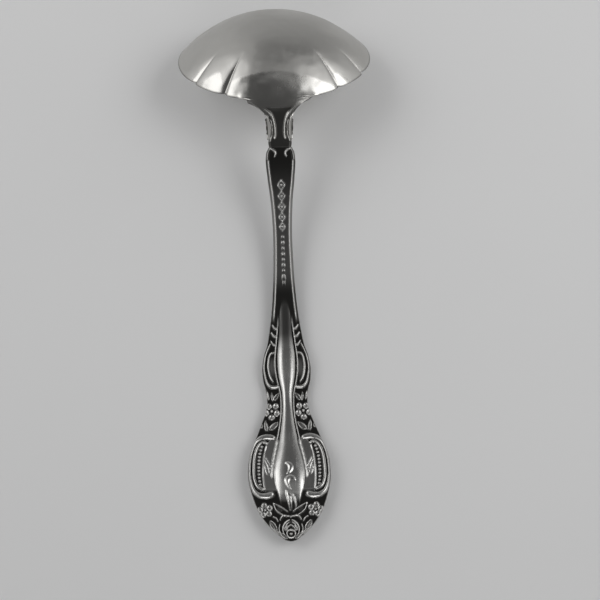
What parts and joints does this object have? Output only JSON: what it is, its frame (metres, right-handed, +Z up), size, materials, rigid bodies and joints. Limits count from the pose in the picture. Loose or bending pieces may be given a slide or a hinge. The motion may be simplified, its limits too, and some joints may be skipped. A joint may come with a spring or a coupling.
{
  "type": "sauce ladle",
  "caption": "Small steel sauce ladle lying face down: fluted oval bowl on a short shank, slim waisted stem, broad die-struck handle end with scroll and flower relief.",
  "frame": {"origin": "on the table, under the middle of the ladle's footprint as it lies face down", "axes": "+Y from the handle's tip to the bowl, +Z up out of the table, +X to the right of someone who looks along +Y"},
  "size_m": [0.06, 0.1762, 0.0272],
  "materials": {
    "bowl_steel": "satin outside, worn by washing, brighter at the heel",
    "handle_steel": "polished on the raised ornament, dark in the struck recesses"
  },
  "bodies": {
    "root": {"bowl": "bowl_steel", "handle": "handle_steel"}
  },
  "joints": []
}
